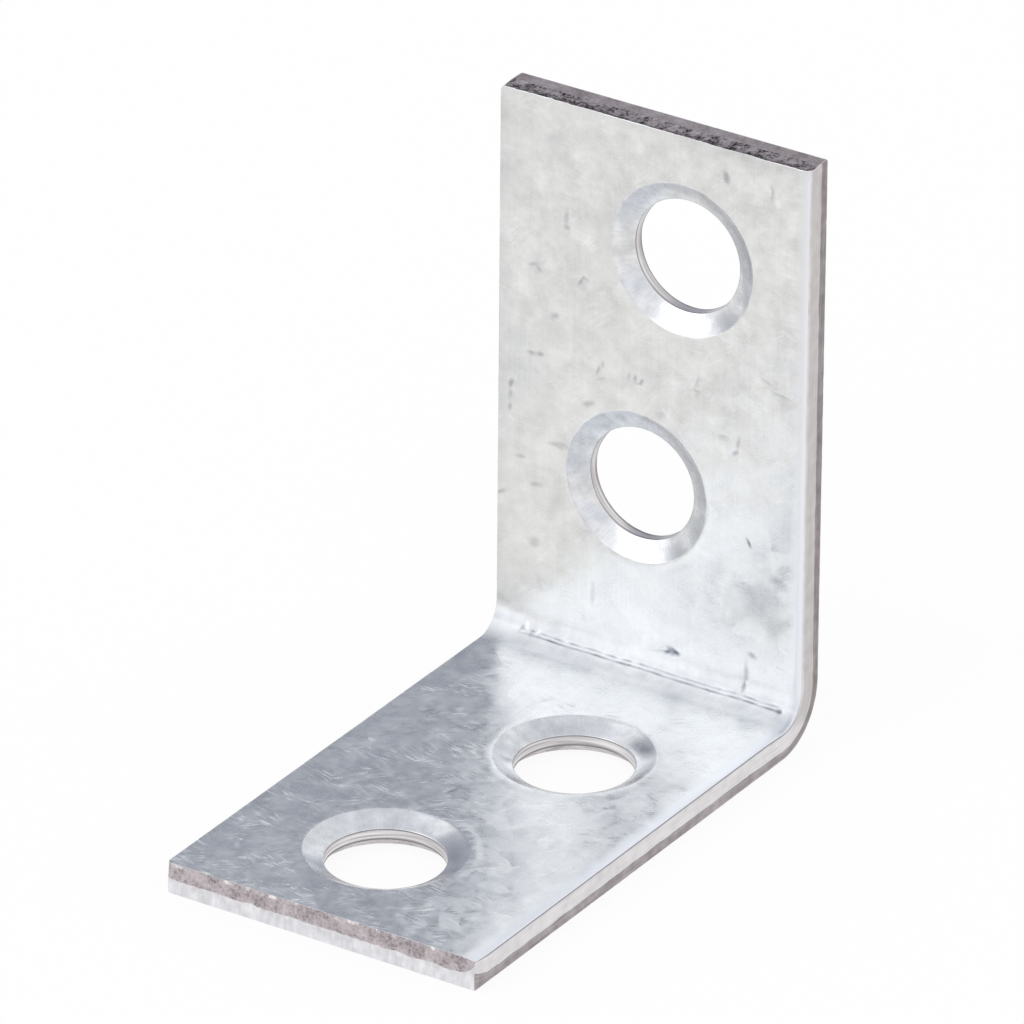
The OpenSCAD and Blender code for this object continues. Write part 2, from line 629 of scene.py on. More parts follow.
@dataclass(frozen=True)
class Mark:
    """A pit, nick, scratch or smudge in the inner face, in millimetres and degrees.

    A smudge has hardly any depth, and a negative stain is a bright fleck. The mesh has close points as far
    as cover, and no other points nearer than clear, both counted in rims.
    """

    leg: Leg
    across: float
    reach: float
    length: float
    width: float
    depth: float
    turn: float = 0.0
    stain_and_shade: float = 0.5
    rim: float = 1.6
    half_cover: float = 0.58
    cover: float = 1.15
    clear: float = 1.3

    def span(self, strip: Strip, places: np.ndarray) -> np.ndarray:
        """Distance of each place from the middle of the mark.

        Args:
            strip: The strip.
            places: Rows that start with across and along.

        Returns:
            The distances, where 1 is the mark's worn rim.
        """
        x = places[:, 0] - self.across
        y = places[:, 1] - strip.along(self.leg, self.reach)
        c, s = math.cos(math.radians(self.turn)), math.sin(math.radians(self.turn))
        return 2 * np.hypot((x * c + y * s) / self.length, (y * c - x * s) / self.width) / self.rim

    def strength(self, strip: Strip, places: np.ndarray) -> np.ndarray:
        """How strongly each place is marked, from 0 to 1."""
        return bump(self.span(strip, places), 1.0)

    def lattice(self, strip: Strip, step: float) -> np.ndarray:
        """Close places that cover the mark, for the mesh to show it.

        Args:
            strip: The strip.
            step: Distance between two places.

        Returns:
            Rows of across and along.
        """
        length, width = (self.half_cover * self.rim * size for size in (self.length, self.width))
        rows = np.arange(-length, length + step, step)
        columns = np.arange(-width, width + step, step)
        x, y = (grid.ravel() for grid in np.meshgrid(rows, columns))
        c, s = math.cos(math.radians(self.turn)), math.sin(math.radians(self.turn))
        middle = strip.along(self.leg, self.reach)
        places = np.column_stack([self.across + x * c - y * s, middle + x * s + y * c])
        return np.round(places[self.span(strip, places) < self.cover], 4)


@dataclass(frozen=True)
class Tumbling:
    """Softening of the strip's sharp edges, in millimetres."""

    inner_r: float = 0.02
    rolled_r: tuple[float, float] = (0.05, 0.3)
    top_r: float = 0.045
    outer_r: float = 0.012
    corner_r: tuple[float, float] = (0.28, 0.06)

    @staticmethod
    def soften(a: np.ndarray, b: np.ndarray, radius: float | np.ndarray) -> tuple[np.ndarray, np.ndarray]:
        """Rounds a square corner.

        Args:
            a: Distance of each point from the first face.
            b: Distance of each point from the second face.
            radius: Radius of the corner.

        Returns:
            The two distances after rounding.
        """
        p, q = radius - a, radius - b
        inside = (p > 0) & (q > 0)
        longest = np.hypot(p, q)
        scale = np.where(inside, np.maximum(p, q) / np.where(longest > 0, longest, 1), 1)
        return radius - p * scale, radius - q * scale

    def work(self, strip: Strip, blank: np.ndarray) -> np.ndarray:
        """Rounds the edges of the box that the blank is.

        Args:
            strip: The strip.
            blank: Rows of across, along and depth.

        Returns:
            The worked rows.
        """
        across, along, depth = blank.T.copy()
        side = np.sign(across)
        corner_r = np.where(side < 0, *self.corner_r)
        inset, along = self.soften(strip.half - np.abs(across), along, corner_r)
        inset, left = self.soften(inset, strip.length - along, corner_r)
        along = strip.length - left
        rolled_r = np.interp(along, (strip.base_run, strip.base_run + strip.arc_run), self.rolled_r)
        inset, depth = self.soften(inset, depth, np.where(side > 0, rolled_r, self.inner_r))
        inset, rest = self.soften(inset, strip.sheet_t - depth, self.outer_r)
        depth = strip.sheet_t - rest
        along, depth = self.soften(along, depth, self.outer_r)
        left, depth = self.soften(strip.length - along, depth, self.top_r)
        return np.column_stack([side * (strip.half - inset), strip.length - left, depth])


def marks() -> list[Mark]:
    """Pits, nicks, scratches, smudges and bright flecks of the inner faces, placed one by one.

    Returns:
        The marks. Each row gives the leg, the place across, the distance from the other leg's outer face,
        length, width, depth, turn and stain.
    """
    up, base = Leg.UPRIGHT, Leg.BASE
    return [
        Mark(up, 3.3, 23.9, 0.5, 0.3, 0.03, 110, 0.75),
        Mark(up, 5.4, 23.8, 0.9, 0.09, 0.01, 90, 0.45),
        Mark(up, -4.0, 20.2, 0.75, 0.2, 0.015, 85, 0.35),
        Mark(up, -3.95, 19.75, 0.3, 0.25, 0.02, 0, 0.4),
        Mark(up, -5.5, 17.75, 0.5, 0.16, 0.02, 20, 0.45),
        Mark(up, -5.25, 17.6, 0.3, 0.14, 0.02, -35, 0.45),
        Mark(up, -3.3, 17.6, 0.55, 0.14, 0.018, 60, 0.4),
        Mark(up, -3.05, 17.75, 0.35, 0.12, 0.015, -20, 0.35),
        Mark(up, -4.5, 15.75, 0.45, 0.28, 0.02, 30, 0.35),
        Mark(up, -5.55, 13.85, 0.4, 0.2, 0.02, 0, 0.5),
        Mark(up, -5.15, 13.9, 0.35, 0.22, 0.02, 10, 0.45),
        Mark(up, -2.45, 13.95, 0.5, 0.16, 0.02, 70, 0.4),
        Mark(up, -2.3, 13.6, 0.4, 0.16, 0.02, 20, 0.4),
        Mark(up, -2.25, 14.25, 0.35, 0.14, 0.015, 95, 0.35),
        Mark(up, -0.75, 14.05, 0.34, 0.15, 0.025, 80, 0.5),
        Mark(up, -0.45, 14.0, 0.34, 0.15, 0.025, 60, 0.5),
        Mark(up, -0.6, 13.85, 0.3, 0.12, 0.02, 0, 0.45),
        Mark(up, -1.05, 14.1, 0.35, 0.1, 0.012, 80, 0.3),
        Mark(up, 0.45, 12.8, 0.45, 0.3, 0.015, 15, 0.3),
        Mark(up, -2.85, 12.35, 0.6, 0.26, 0.02, 20, 0.4),
        Mark(up, 2.1, 14.7, 0.6, 0.1, 0.012, 70, 0.3),
        Mark(up, 2.1, 14.3, 0.35, 0.12, 0.015, -10, 0.35),
        Mark(up, 4.05, 12.6, 0.55, 0.18, 0.02, 80, 0.45),
        Mark(up, 3.9, 12.1, 0.4, 0.2, 0.02, 40, 0.45),
        Mark(up, 3.35, 12.7, 0.4, 0.14, 0.015, 5, 0.3),
        Mark(up, 4.6, 8.35, 0.42, 0.12, 0.03, 118, 0.8),
        Mark(up, -6.5, 12.25, 0.4, 0.2, 0.02, 70, 0.55),
        Mark(up, -6.55, 11.75, 0.45, 0.2, 0.015, 80, 0.3),
        Mark(up, -6.55, 11.2, 0.35, 0.16, 0.018, 80, 0.4),
        Mark(up, -6.05, 9.15, 0.45, 0.18, 0.015, 10, 0.35),
        Mark(up, -4.25, 10.15, 0.9, 0.2, 0.02, 5, 0.45),
        Mark(up, -5.3, 8.1, 0.55, 0.22, 0.018, 10, 0.4),
        Mark(up, -5.35, 5.5, 0.5, 0.4, 0.02, 40, 0.4),
        Mark(up, -4.6, 23.4, 0.9, 0.6, 0.006, 20, 0.18),
        Mark(up, -6.9, 7.35, 0.5, 0.16, 0.015, 30, 0.4),
        Mark(up, 1.15, 2.6, 0.5, 0.22, 0.035, -20, 0.9),
        Mark(up, 1.3, 2.45, 0.4, 0.2, 0.03, 15, 0.9),
        Mark(up, 0.95, 2.45, 0.4, 0.18, 0.025, 30, 0.7),
        Mark(up, 0.6, 2.4, 0.8, 0.1, 0.01, 12, 0.35),
        Mark(up, 4.85, 3.45, 0.45, 0.22, 0.02, -15, 0.5),
        Mark(up, 4.55, 2.5, 1.3, 0.08, 0.015, 90, 0.5),
        Mark(up, 4.55, 1.95, 0.3, 0.2, 0.025, 80, 0.6),
        Mark(up, -2.6, 4.0, 1.0, 0.2, 0.01, 90, 0.3),
        Mark(up, 6.0, 6.95, 0.75, 0.45, 0.004, -15, 0.35),
        Mark(up, 5.9, 15.2, 0.7, 0.14, 0.01, -10, 0.3),
        Mark(up, 5.3, 15.6, 0.7, 0.12, 0.01, -25, 0.25),
        Mark(base, -5.6, 22.1, 0.55, 0.22, 0.012, 120, -0.9),
        Mark(base, -1.1, 13.85, 0.55, 0.2, 0.02, 70, 0.5),
        Mark(base, -1.5, 13.5, 0.6, 0.16, 0.015, 20, 0.35),
        Mark(base, -4.6, 14.1, 0.7, 0.12, 0.012, 50, 0.35),
        Mark(base, -4.5, 15.3, 0.6, 0.1, 0.01, 60, 0.3),
        Mark(base, -5.5, 8.8, 0.6, 0.12, 0.012, 55, 0.35),
        Mark(base, -5.1, 8.2, 0.5, 0.14, 0.012, 40, -0.5),
        Mark(base, -3.9, 8.0, 0.5, 0.14, 0.012, 60, 0.3),
        Mark(base, 4.75, 21.6, 0.55, 0.3, 0.015, 40, 0.4),
        Mark(base, 2.3, 23.1, 0.5, 0.3, 0.012, 20, 0.35),
        Mark(base, -5.0, 5.0, 0.5, 0.14, 0.012, 50, 0.35),
        Mark(base, -5.6, 4.6, 0.4, 0.12, 0.012, 30, 0.3),
        Mark(base, 5.2, 13.9, 0.6, 0.2, 0.012, 30, 0.25),
        Mark(base, 4.6, 10.9, 0.5, 0.16, 0.012, 60, 0.25),
        Mark(base, -0.85, 9.9, 0.7, 0.3, 0.02, 35, 0.5),
        Mark(base, 2.4, 16.9, 0.45, 0.16, 0.012, 35, 0.3),
        Mark(up, 5.2, 5.9, 1.7, 1.3, 0.003, 35, 0.3),
        Mark(up, 5.9, 5.0, 1.0, 0.8, 0.003, 80, 0.16),
        Mark(up, 5.0, 8.0, 0.9, 0.8, 0.002, 0, 0.16),
        Mark(base, 6.95, 2.1, 1.2, 0.16, 0.01, 95, 0.25),
        Mark(up, 3.3, 7.0, 0.8, 0.9, 0.002, 0, 0.14),
        Mark(up, 6.3, 9.6, 0.5, 2.4, 0.002, 0, 0.12),
        Mark(up, -4.3, 7.6, 1.6, 0.6, 0.002, 70, 0.12),
        Mark(base, 4.15, 8.3, 1.8, 0.7, 0.0, 95, 0.4),
        Mark(base, 3.2, 6.55, 1.6, 0.6, 0.0, 150, 0.4),
        Mark(base, 1.6, 17.7, 1.6, 0.6, 0.0, 130, 0.3),
        # Ticks at the crease's left end: the dark ones are grime and painted shade in the crease, the bright
        # ones painted highlights.
        Mark(up, -5.75, 1.62, 0.34, 0.07, 0.01, 70, 0.5),
        Mark(up, -5.5, 1.78, 0.3, 0.06, 0.01, 115, -0.7),
        Mark(up, -5.25, 1.58, 0.34, 0.07, 0.012, 75, 0.5),
        Mark(up, -4.95, 1.68, 0.3, 0.06, 0.01, 60, -0.6),
    ]


@dataclass
class FoldedStrip:
    """The bracket itself: builds its mesh and stores what its finishes need. Sizes in millimetres.

    The steps and ends set the grid lines of the mesh, and the gaps keep a tool off a patch's rim. Punching
    gives the holes' walls ring lines and chips. The waves are the sheet's unevenness: height, pitch, stretch
    along and seed. The skin is how far the inner face sinks as a whole, so that no wave stands proud of the
    sheet, and skin_depth is how deep a point of that face may lie.
    """

    HOLE_SHIFT = 20.0

    strip: Strip
    holes: list[ScrewHole]
    edges: tuple[SlitEdge, ...] = (SlitEdge(-1, 0.2, 0.08, 0.0), SlitEdge(1, 0.75, 0.09, 0.8))
    ends: tuple[CroppedEnd, ...] = (CroppedEnd(False, 81, 0.08, 0.01, 0.01, corner_drop=0.5),
                                    CroppedEnd(True, 91, 0.03, 0.008, 0.014))
    tumbling: Tumbling = field(default_factory=Tumbling)
    crease: PressCrease = field(default_factory=PressCrease)
    marks: list[Mark] = field(default_factory=marks)
    step: float = 0.16
    fold_step: float = 0.09
    crease_reach: float = 0.27
    depth_step: float = 0.09
    outer_step: float = 0.5
    mark_step: float = 0.055
    rim_gap: float = 0.004
    hole_gap: float = 0.03
    wall_gap: float = 0.01
    edge_ends: tuple[float, ...] = (0, 0.008, 0.018, 0.032, 0.05, 0.08, 0.12, 0.17, 0.23, 0.3)
    roll_ends: tuple[float, ...] = (0.38, 0.47, 0.57, 0.66, 0.75)
    tear_steps: tuple[float, ...] = (-0.03, -0.012, 0, 0.012, 0.03)
    outer_ends: tuple[float, ...] = (0.4, 0.6)
    ring_stretch: float = 12.0
    ring_depth: float = 0.008
    ring_mm: float = 2.2
    chip_depth: float = 0.03
    chip_mm: float = 0.9
    wall_h: float = 0.87
    waves: tuple[tuple[float, float, float, int], ...] = (
        (0.0035, 5.5, 1.0, 71), (0.0012, 1.3, 0.35, 72), (0.0005, 0.6, 1.0, 73))
    skin: float = 0.004
    skin_depth: float = 0.1
    press_gap: float = 0.02
    cone_gap: float = 0.1
    craze_depth: float = 0.0012
    crack_mm: float = 0.35
    craze_mm: tuple[float, float] = (0.25, 1.05)
    polish_mm: tuple[float, float] = (0.2, 0.6)
    # Darker band along the left edge and the top end, painted shade at the top end, and painted shade just
    # above the fold's middle.
    edge_band: float = 0.08
    edge_band_mm: tuple[float, float] = (0.15, 0.65)
    fold_shade: float = 0.16
    fold_shade_mm: tuple[float, float, float] = (0.05, 0.2, 0.7)
    mark_stain: float = 0.85

    def __post_init__(self) -> None:
        """Works out the grid lines that all patches share."""
        strip = self.strip
        half_arc = strip.arc_run / 2
        fold = np.linspace(-half_arc, half_arc, round(strip.arc_run / self.fold_step) + 1)
        fold = [*(fold[np.abs(fold) > self.crease_reach] + strip.fold_middle), *self.crease.stations(strip)]
        self.rows = stations(crowded(strip.length, self.edge_ends) + fold, self.step)
        wide = crowded(strip.width, self.edge_ends + self.roll_ends)
        self.columns = np.round(stations(wide, self.step) - strip.half, 4)
        borders = [strip.sheet_t - CroppedEnd.shear_h]
        borders += [edge.entry(strip, edge.tear_depth) for edge in self.edges]
        tears = [border + off for border in borders for off in self.tear_steps]
        self.depths = stations(crowded(strip.sheet_t, self.edge_ends[:7]) + tears, self.depth_step)
        ends = self.edge_ends + self.outer_ends
        self.outer_rows = stations(crowded(strip.length, ends) + fold[::2], self.outer_step)
        wide = stations(crowded(strip.width, ends), self.outer_step)
        self.outer_columns = np.round(wide - strip.half, 4)

    def outline(self) -> np.ndarray:
        """Places round the strip's outline, in order, at the shared grid lines."""
        half, top = self.strip.half, self.rows[-1]
        front = np.column_stack([self.columns, np.zeros(len(self.columns))])
        right = np.column_stack([np.full(len(self.rows), half), self.rows])
        back = np.column_stack([self.columns, np.full(len(self.columns), top)])
        left = np.column_stack([np.full(len(self.rows), -half), self.rows])
        return np.concatenate([front[:-1], right[:-1], back[:0:-1], left[:0:-1]])

    def within(self, places: np.ndarray, gap: float) -> np.ndarray:
        """Whether each place is further than the gap inside the strip's outline."""
        across, along = places[:, 0], places[:, 1]
        return (np.abs(across) < self.strip.half - gap) & (along > gap) & (along < self.strip.length - gap)

    def face_patch(self, rows: np.ndarray, columns: np.ndarray, openings: list[tuple[ScrewHole, float]],
                   marks: list[Mark], depth: float) -> tuple[np.ndarray, list[tuple[int, ...]]]:
        """Triangles of a flat face with round openings.

        Args:
            rows: Places along of the grid lines.
            columns: Places across of the grid lines.
            openings: Each opening's hole and radius.
            marks: Marks that need close points.
            depth: Depth of the face.

        Returns:
            The points and the triangles.
        """
        strip = self.strip
        places = np.column_stack([grid.ravel() for grid in np.meshgrid(columns, rows)])
        lattices = []
        for mark in marks:
            places = places[mark.span(strip, places) > mark.clear]
            lattices.append(mark.lattice(strip, self.mark_step))
        places = np.concatenate([places, *lattices])
        inside = self.within(places, self.rim_gap)
        rims = [hole.ring(radius) for hole, radius in openings]
        for hole, radius in openings:
            inside &= hole.distance(places) > radius + self.hole_gap
        places = places[inside]
        loops = [self.outline(), *rims]
        edges = []
        start = 0
        for loop in loops:
            edges += [(start + i, start + (i + 1) % len(loop)) for i in range(len(loop))]
            start += len(loop)
        points = [Vector(place) for place in np.concatenate([*loops, places])]
        flat, _, faces, *_ = delaunay_2d_cdt(points, edges, [], 0, 1e-6)
        flat = np.round(np.array([tuple(point) for point in flat]), 4)
        corners = np.array(faces)
        middles = flat[corners].mean(axis=1)
        solid = np.ones(len(corners), dtype=bool)
        for hole, radius in openings:
            solid &= hole.distance(middles) > radius * hole.flatness
        triangles = [tuple(face) for face in corners[solid].tolist()]
        return np.column_stack([flat, np.full(len(flat), depth)]), triangles

    def add_faces(self, blank: Blank) -> None:
        """Adds the inner and the outer face.

        Args:
            blank: The blank that they are added to.
        """
        openings = [(hole, hole.face_r) for hole in self.holes]
        points, triangles = self.face_patch(self.rows, self.columns, openings, self.marks, 0.0)
        blank.add(points, triangles, [Zone.FACE] * len(triangles))
        openings = [(hole, hole.outer_r) for hole in self.holes]
        points, triangles = self.face_patch(self.outer_rows, self.outer_columns, openings, [],
                                            self.strip.sheet_t)
        blank.add(points, triangles, [Zone.FACE] * len(triangles))

    def add_edges(self, blank: Blank) -> None:
        """Adds both long edges and both ends.

        Args:
            blank: The blank that they are added to.
        """
        strip = self.strip
        middles = (self.depths[:-1] + self.depths[1:]) / 2
        for edge in self.edges:
            zones = [edge.zone(edge.entry(strip, depth), self.edge_ends[2]) for depth in middles]
            along, depth = np.meshgrid(self.rows, self.depths, indexing="ij")
            across = np.full_like(along, edge.side * strip.half)
            blank.add_grid(np.stack([across, along, depth], axis=-1), zones)
        for end in self.ends:
            zones = [end.zone(strip, depth) for depth in middles]
            across, depth = np.meshgrid(self.columns, self.depths, indexing="ij")
            along = np.full_like(across, self.rows[-1] if end.at_top else 0.0)
            blank.add_grid(np.stack([across, along, depth], axis=-1), zones)

    def add_holes(self, blank: Blank) -> None:
        """Adds the surface of each hole, from the inner to the outer face.

        Args:
            blank: The blank that they are added to.
        """
        for hole in self.holes:
            profile = hole.profile(self.strip.sheet_t)
            rings = []
            for radius, depth, _ in profile:
                ring = hole.ring(radius)
                ring = np.concatenate([ring, ring[:1]])
                rings.append(np.column_stack([ring, np.full(len(ring), depth)]))
            blank.add_grid(np.stack(rings, axis=1), [zone for _, _, zone in profile[:-1]])

    def punch(self, blank: np.ndarray) -> np.ndarray:
        """Gives the holes' walls their ring lines and their torn flare.

        Args:
            blank: Rows of across, along and depth.

        Returns:
            The worked rows.
        """
        worked = blank.copy()
        for hole in self.holes:
            x, y = blank[:, 0] - hole.across, blank[:, 1] - hole.along
            radius = np.hypot(x, y)
            near = (radius < hole.outer_r - self.wall_gap) & (blank[:, 2] > hole.cone_depth)
            x, y, radius, depth = x[near], y[near], radius[near], blank[near, 2]
            rim = np.column_stack([x, y]) / radius[:, None] * hole.hole_r
            around = np.column_stack([rim, self.ring_stretch * depth])
            lines = self.ring_depth * np.abs(ripple(around, self.ring_mm, hole.seed))
            torn = np.clip((depth - self.strip.sheet_t) / hole.tear_depth + 1, 0, 1)
            walls = np.sin(math.pi * np.clip((depth - hole.cone_depth) / self.wall_h, 0, 1)) ** 0.5
            chips = self.chip_depth * np.abs(ripple(around * (1, 1, 0.5), self.chip_mm, hole.seed + 1))
            grown = 1 + (lines + chips * 4 * torn * (1 - torn)) * walls / radius
            worked[near, 0] = hole.across + x * grown
            worked[near, 1] = hole.along + y * grown
        return worked

    def press(self, blank: np.ndarray) -> np.ndarray:
        """Presses the crease, the marks and the slight unevenness of the sheet into the inner face.

        Args:
            blank: Rows of across, along and depth.

        Returns:
            The worked rows.
        """
        worked = blank.copy()
        inner = (blank[:, 2] < self.holes[0].cone_depth) & self.within(blank, self.press_gap)
        for hole in self.holes:
            inner &= hole.distance(blank) > hole.hole_r + self.cone_gap
        places = blank[inner]
        flat = places[:, :2]
        sink = self.crease.sink(self.strip, places) + self.skin
        for mark in self.marks:
            sink += mark.depth * mark.strength(self.strip, flat)
        for height, pitch, stretch, seed in self.waves:
            sink += height * ripple(flat * (1, stretch), pitch, seed)
        cracks = np.abs(ripple(flat * (1, 1.4), self.crack_mm, 74))
        worked[inner, 2] += sink + self.craze_depth * self.craze(places) * cracks
        return worked

    def craze(self, flat: np.ndarray) -> np.ndarray:
        """How much folding stretched or squeezed the zinc of the inner face, from 0 to 1."""
        off = np.abs(flat[:, 1] - self.strip.fold_middle)
        return np.interp(off, self.craze_mm, (1, 0)) * (flat[:, 2] < self.skin_depth)

    def darker_bands(self, flat: np.ndarray) -> np.ndarray:
        """Darker bands along the left edge and the top end, painted shade at the top end, and painted shade
        just above the middle of the fold.

        Args:
            flat: Rows of across, along and depth.

        Returns:
            A darkening for each row.
        """
        rim = np.minimum(self.strip.half + flat[:, 0], self.strip.length - flat[:, 1])
        off = flat[:, 1] - self.strip.fold_middle
        edge_band = self.edge_band * np.interp(rim, self.edge_band_mm, (1, 0))
        return edge_band + self.fold_shade * np.interp(off, self.fold_shade_mm, (0, 1, 0))

    def state(self, flat: np.ndarray) -> np.ndarray:
        """State of the zinc at each point.

        Args:
            flat: Rows of across, along and depth.

        Returns:
            Rows of stain and painted shade, polish and craze.
        """
        inner = flat[:, 2] < self.holes[0].cone_depth
        stain_and_shade = sum(mark.stain_and_shade * mark.strength(self.strip, flat[:, :2]) for mark in self.marks)
        # The marks give real stains; the crease and the darker bands add painted shade.
        stain_and_shade = self.mark_stain * stain_and_shade + self.crease.stain_and_shade(self.strip, flat) + self.darker_bands(flat)
        polish = np.interp(self.strip.half - flat[:, 0], self.polish_mm, (1, 0))
        polish *= flat[:, 2] < self.skin_depth
        return np.column_stack([stain_and_shade * inner, polish, self.craze(flat)])

    def build(self) -> bpy.types.Object:
        """Makes the mesh of the bracket.

        Returns:
            The mesh object, linked to the scene.
        """
        blank = Blank()
        self.add_faces(blank)
        self.add_edges(blank)
        self.add_holes(blank)
        flat, faces, zones = blank.merged()
        worked = self.tumbling.work(self.strip, self.punch(self.press(flat)))
        for tool in (*self.edges, *self.ends):
            worked = tool.work(self.strip, worked)
        mesh = bpy.data.meshes.new("folded_strip")
        mesh.from_pydata((self.strip.folded(worked) * MM).tolist(), [], faces)
        mesh.polygons.foreach_set("material_index", [zone.value for zone in zones])
        stored = {"strip_mm": flat, "state": self.state(flat), "hole_mm": self.round_holes(flat)}
        for name, values in stored.items():
            attribute = mesh.attributes.new(name, "FLOAT_VECTOR", "POINT")
            attribute.data.foreach_set("vector", values.astype(np.float32).ravel())
        work = bmesh.new()
        work.from_mesh(mesh)
        bmesh.ops.recalc_face_normals(work, faces=work.faces)
        open_edges = sum(1 for edge in work.edges if not edge.is_manifold)
        work.to_mesh(mesh)
        work.free()
        mesh.polygons.foreach_set("use_smooth", [True] * len(mesh.polygons))
        piece = bpy.data.objects.new("folded_strip", mesh)
        bpy.context.scene.collection.objects.link(piece)
        triangles = sum(len(face) - 2 for face in faces)
        LOG.info("folded_strip: %d points, %d triangles, %d open edges", len(flat), triangles, open_edges)
        return piece

    def round_holes(self, flat: np.ndarray) -> np.ndarray:
        """Place round the nearest hole.

        Args:
            flat: Rows of across, along and depth.

        Returns:
            Rows of two coordinates on the hole's rim and the distance from its middle. The rims of two holes
            lie apart, so that their patterns differ.
        """
        best = np.full(len(flat), 1e9)
        found = np.zeros((len(flat), 3))
        for number, hole in enumerate(self.holes):
            x, y = flat[:, 0] - hole.across, flat[:, 1] - hole.along
            radius = np.maximum(np.hypot(x, y), 1e-6)
            nearer = radius < best
            share = hole.hole_r / radius
            rim = np.column_stack([x * share + self.HOLE_SHIFT * number, y * share, radius])
            found[nearer] = rim[nearer]
            best = np.minimum(best, radius)
        return found


def linear(colour: str) -> tuple[float, float, float, float]:
    """Turns an sRGB hex colour to linear light.

    Args:
        colour: Six hex digits after a hash sign.

    Returns:
        Red, green, blue and an alpha of 1.
    """
    parts = [int(colour[i:i + 2], 16) / 255 for i in (1, 3, 5)]
    light = [part / 12.92 if part <= 0.04045 else ((part + 0.055) / 1.055) ** 2.4 for part in parts]
    return (*light, 1.0)


def cleared(owner: bpy.types.Material | bpy.types.World) -> Tree:
    """Gives a material or a world an empty node tree, and returns the tree."""
    owner.use_nodes = True
    owner.node_tree.nodes.clear()
    return owner.node_tree


def add_node(tree: Tree, kind: str, inputs: dict | tuple = (), **settings: object) -> Node:
    """Adds a shader node with its settings and links.

    Args:
        tree: The node tree.
        kind: Type of the node, without its ShaderNode prefix.
        inputs: Value for each input's name or number, or values for the first inputs in order. A value is
            a constant, a socket to link, or a node whose first output in use is linked. Mix takes its
            factor at 0, and then two numbers at 2 and 3 or two colours at 6 and 7. MapRange takes the
            value, the two ends that it comes from and, unless they are 0 and 1, the two that it goes to.
        settings: Attributes of the node.

    Returns:
        The new node.
    """
    node = tree.nodes.new("ShaderNode" + kind)
    for name, value in settings.items():
        setattr(node, name, value)
    for name, value in inputs.items() if isinstance(inputs, dict) else enumerate(inputs):
        if isinstance(value, Node):
            value = next(output for output in value.outputs if output.enabled)
        if isinstance(value, Socket):
            tree.links.new(value, node.inputs[name])
        else:
            node.inputs[name].default_value = value
    return node


def blended(tree: Tree, parts: tuple[tuple[Feed, float], ...]) -> Feed:
    """Adds up patterns by weight.

    Args:
        tree: The node tree.
        parts: Each pattern and its weight.

    Returns:
        The sum.
    """
    total = 0.0
    for pattern, weight in parts:
        total = add_node(tree, "Math", (pattern, weight, total), operation="MULTIPLY_ADD")
    return total


@dataclass(frozen=True)
class Finish:
    """A state of the strip's surface. Colours are sRGB, sizes are in millimetres."""

    name: str
    dull: str
    pale: str
    roughness: tuple[float, float]

    def material(self) -> bpy.types.Material:
        """Makes the material of this finish."""
        made = bpy.data.materials.new(self.name)
        tree = cleared(made)
        place = add_node(tree, "Attribute", attribute_name="strip_mm").outputs["Vector"]
        shader = add_node(tree, "BsdfPrincipled", {"Metallic": 1.0, **self.look(tree, place)})
        add_node(tree, "OutputMaterial", {"Surface": shader})
        return made

    def look(self, tree: Tree, place: Socket) -> dict[str, Feed]:
        """Adds the finish's pattern; each finish has its own.

        Args:
            tree: The node tree.
            place: Place on the flat strip, in millimetres.

        Returns:
            What feeds each input of the shader.
        """
        raise NotImplementedError

    def toned(self, tree: Tree, tone: Feed, relief: Feed, frost: Feed | None = None) -> dict[str, Feed]:
        """Colour and roughness by tone, and the relief.

        Args:
            tree: The node tree.
            tone: 0 where the surface is dull, 1 where it is pale.
            relief: The normal with its bumps.
            frost: Tone of the roughness, where that isn't the colour's.

        Returns:
            What feeds the shader's colour, roughness and normal.
        """
        colours = {0: tone, 6: linear(self.dull), 7: linear(self.pale)}
        frost = tone if frost is None else frost
        return {
            "Base Color": add_node(tree, "Mix", colours, data_type="RGBA"),
            "Roughness": add_node(tree, "MapRange", (frost, 0.0, 1.0, *self.roughness)),
            "Normal": relief,
        }

    @staticmethod
    def covered(tree: Tree, look: dict[str, Feed], layers: tuple[tuple[Feed, Feed | str], ...]
                ) -> dict[str, Feed]:
        """Lays colours over a look.

        Args:
            tree: The node tree.
            look: What feeds the shader.
            layers: Each layer's share and colour, from the lowest.

        Returns:
            The look with its new colour.
        """
        colour = look["Base Color"]
        for share, over in layers:
            over = linear(over) if isinstance(over, str) else over
            colour = add_node(tree, "Mix", {0: share, 6: colour, 7: over}, data_type="RGBA")
        return {**look, "Base Color": colour}


